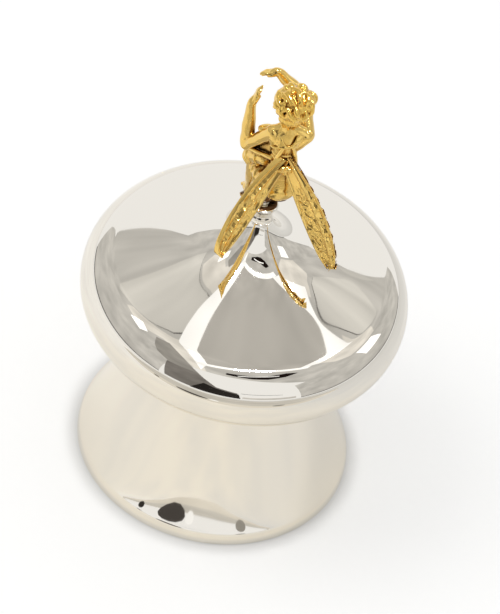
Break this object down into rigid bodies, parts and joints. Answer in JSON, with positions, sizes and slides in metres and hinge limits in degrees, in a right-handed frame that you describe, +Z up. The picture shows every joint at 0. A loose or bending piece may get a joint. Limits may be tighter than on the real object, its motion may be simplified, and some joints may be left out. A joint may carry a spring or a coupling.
{
  "type": "baby tooth box",
  "caption": "Silver toadstool box for milk teeth: a waisted stem with a gilt cup inside and a lift-off cap with a gilt fairy seated on its peak.",
  "frame": {"origin": "on the table under the middle of the foot", "axes": "+Z up along the turned axis of stem and cap, -Y towards the front, where the fairy turns its back and lays its wings"},
  "size_m": [0.04, 0.04, 0.0614],
  "materials": {
    "silver": "mirror polished sterling silver",
    "gilt": "gold plated silver"
  },
  "bodies": {
    "stem": {"stem_shell": "silver", "base_plate": "silver", "inner_cup": "gilt"},
    "lid": {"cap_shell": "silver", "cap_underside": "silver", "lid_collar": "silver", "peak_knob": "silver", "stud_washer": "silver", "stud_nut": "silver", "fairy_stud": "silver", "fairy_figure": "gilt", "fairy_left_arm": "gilt", "fairy_right_arm": "gilt", "fairy_left_wing": "gilt", "fairy_right_wing": "gilt"}
  },
  "joints": [
    {"name": "lid_lift", "type": "slide", "parent": "stem", "child": "lid", "axis": [0, 0, 1], "range_m": [0, 0.03]}
  ]
}
